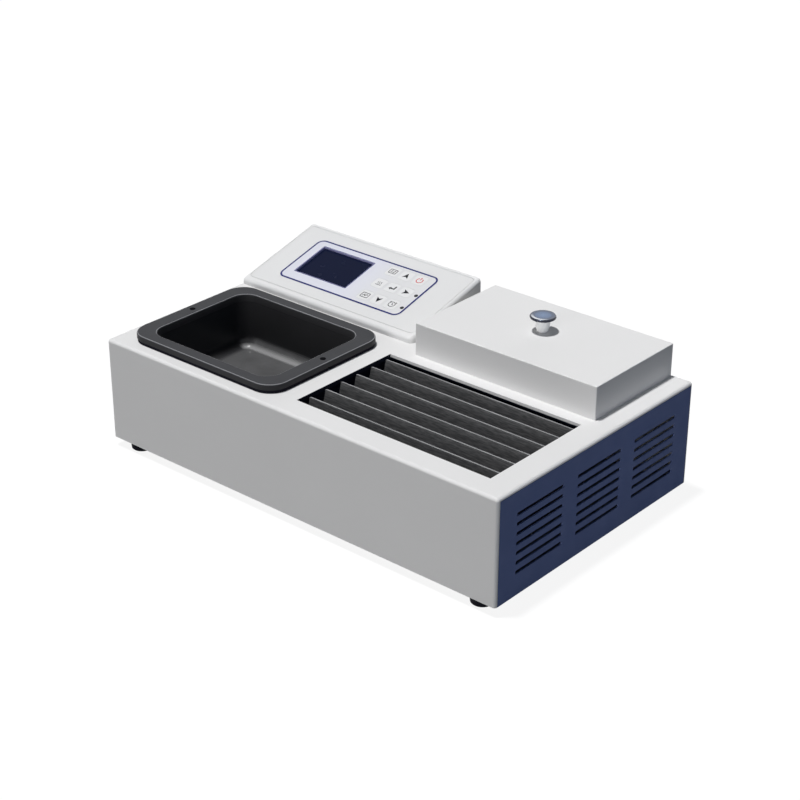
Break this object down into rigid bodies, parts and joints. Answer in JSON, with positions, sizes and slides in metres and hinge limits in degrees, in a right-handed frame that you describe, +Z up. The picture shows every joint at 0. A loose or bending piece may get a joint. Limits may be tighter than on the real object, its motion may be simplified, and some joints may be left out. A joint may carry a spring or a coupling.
{
  "type": "tissue flotation bath",
  "caption": "Bench flotation bath with a deep water pan, a well of leaning slide plates, a lidded warming tray and a sloping keypad housing.",
  "frame": {"origin": "middle of the outline, on the surface that the feet stand on", "axes": "+X to the right along the longest side, +Y to the back, +Z up"},
  "size_m": [0.5, 0.308, 0.1721],
  "materials": {
    "white_paint": "fine-grained white powder coat",
    "navy_paint": "fine-grained navy powder coat",
    "zinc_sheet": "zinc-plated steel sheet",
    "black_rubber": "matt black rubber",
    "steel_screws": "zinc-plated steel",
    "dark_screws": "blackened steel",
    "coated_pan": "dark grey non-stick coating",
    "heating_mat": "silicone rubber",
    "sensor_metal": "plain",
    "felt": "pressed felt",
    "black_liner": "satin black",
    "rack_plate": "dark anodised faces with bare edges",
    "rack_comb": "dark anodised",
    "heater_rod": "heat-tinted stainless steel",
    "black_plastic": "fine-grained black",
    "switch_red": "gloss red",
    "fuse_glass": "clear with metal ends",
    "knob": "blue metallic head on a white stem",
    "tray_steel": "satin stainless steel",
    "housing_plastic": "satin white",
    "face_plastic": "satin white",
    "keypad_film": "satin film with a blue border line",
    "key_film": "satin film with a printed icon",
    "display_lens": "dark gloss",
    "display_module": "black frame",
    "circuit_board": "green solder mask",
    "lamp": "dark unlit lens",
    "nylon": "natural nylon"
  },
  "bodies": {
    "chassis": {"air_duct": "zinc_sheet", "base_plate": "zinc_sheet", "bath_bracket": "zinc_sheet", "bath_gasket": "black_rubber", "bath_heater": "heating_mat", "bath_insulation": "felt", "bath_pan": "coated_pan", "bath_screws": "dark_screws", "bath_sensor": "sensor_metal", "bath_spacers": "steel_screws", "board_standoffs": "nylon", "case_screws": "steel_screws", "control_housing": "housing_plastic", "face_plate": "face_plastic", "fan_frame": "black_plastic", "feet": "black_rubber", "foot_screws": "steel_screws", "heater_brackets": "zinc_sheet", "inlet_screws": "steel_screws", "key_board": "circuit_board", "keypad_overlay": "keypad_film", "lcd_lens": "display_lens", "lcd_module": "display_module", "left_side_panel": "navy_paint", "mains_inlet": "black_plastic", "power_board": "circuit_board", "rack_comb_left": "rack_comb", "rack_comb_right": "rack_comb", "right_side_panel": "navy_paint", "slide_plate_1": "rack_plate", "slide_plate_2": "rack_plate", "slide_plate_3": "rack_plate", "slide_plate_4": "rack_plate", "slide_plate_5": "rack_plate", "slide_plate_6": "rack_plate", "slide_well": "black_liner", "status_leds": "lamp", "switch_body": "black_plastic", "top_cover": "white_paint", "warming_heater": "heating_mat", "warming_sensor": "sensor_metal", "warming_tray": "tray_steel", "well_heater": "heater_rod", "well_sensor": "sensor_metal"},
    "lid_assembly": {"lid": "white_paint", "lid_knob": "knob", "knob_screw": "steel_screws"},
    "rocker": {"switch_rocker": "switch_red"},
    "fuse_carrier": {"fuse_drawer": "black_plastic", "fuse": "fuse_glass"},
    "fan_wheel": {"fan_rotor": "black_plastic"},
    "key_clock_cap": {"key_clock": "key_film"},
    "key_down_cap": {"key_down": "key_film"},
    "key_enter_cap": {"key_enter": "key_film"},
    "key_menu_cap": {"key_menu": "key_film"},
    "key_mode_cap": {"key_mode": "key_film"},
    "key_power_cap": {"key_power": "key_film"},
    "key_program_cap": {"key_program": "key_film"},
    "key_right_cap": {"key_right": "key_film"},
    "key_up_cap": {"key_up": "key_film"}
  },
  "joints": [
    {"name": "lid_lift", "type": "slide", "parent": "chassis", "child": "lid_assembly", "axis": [0, 0, 1], "range_m": [0, 0.06]},
    {"name": "rocker_turn", "type": "hinge", "parent": "chassis", "child": "rocker", "pos_m": [-0.13, 0.147, 0.06], "axis": [1, 0, 0], "range_deg": [0, 16]},
    {"name": "fuse_drawer_slide", "type": "slide", "parent": "chassis", "child": "fuse_carrier", "axis": [0, 1, 0], "range_m": [0, 0.015]},
    {"name": "fan_spin", "type": "hinge", "parent": "chassis", "child": "fan_wheel", "pos_m": [0.10525, -0.061, 0.019], "axis": [0, 0, 1], "continuous": true},
    {"name": "key_clock_press", "type": "slide", "parent": "chassis", "child": "key_clock_cap", "axis": [0, 0.262, -0.9651], "range_m": [0, 0.0004], "stiffness_N_per_m": 800, "springref_m": -0.0005},
    {"name": "key_down_press", "type": "slide", "parent": "chassis", "child": "key_down_cap", "axis": [0, 0.262, -0.9651], "range_m": [0, 0.0004], "stiffness_N_per_m": 800, "springref_m": -0.0005},
    {"name": "key_enter_press", "type": "slide", "parent": "chassis", "child": "key_enter_cap", "axis": [0, 0.262, -0.9651], "range_m": [0, 0.0004], "stiffness_N_per_m": 800, "springref_m": -0.0005},
    {"name": "key_menu_press", "type": "slide", "parent": "chassis", "child": "key_menu_cap", "axis": [0, 0.262, -0.9651], "range_m": [0, 0.0004], "stiffness_N_per_m": 800, "springref_m": -0.0005},
    {"name": "key_mode_press", "type": "slide", "parent": "chassis", "child": "key_mode_cap", "axis": [0, 0.262, -0.9651], "range_m": [0, 0.0004], "stiffness_N_per_m": 800, "springref_m": -0.0005},
    {"name": "key_power_press", "type": "slide", "parent": "chassis", "child": "key_power_cap", "axis": [0, 0.262, -0.9651], "range_m": [0, 0.0004], "stiffness_N_per_m": 800, "springref_m": -0.0005},
    {"name": "key_program_press", "type": "slide", "parent": "chassis", "child": "key_program_cap", "axis": [0, 0.262, -0.9651], "range_m": [0, 0.0004], "stiffness_N_per_m": 800, "springref_m": -0.0005},
    {"name": "key_right_press", "type": "slide", "parent": "chassis", "child": "key_right_cap", "axis": [0, 0.262, -0.9651], "range_m": [0, 0.0004], "stiffness_N_per_m": 800, "springref_m": -0.0005},
    {"name": "key_up_press", "type": "slide", "parent": "chassis", "child": "key_up_cap", "axis": [0, 0.262, -0.9651], "range_m": [0, 0.0004], "stiffness_N_per_m": 800, "springref_m": -0.0005}
  ]
}
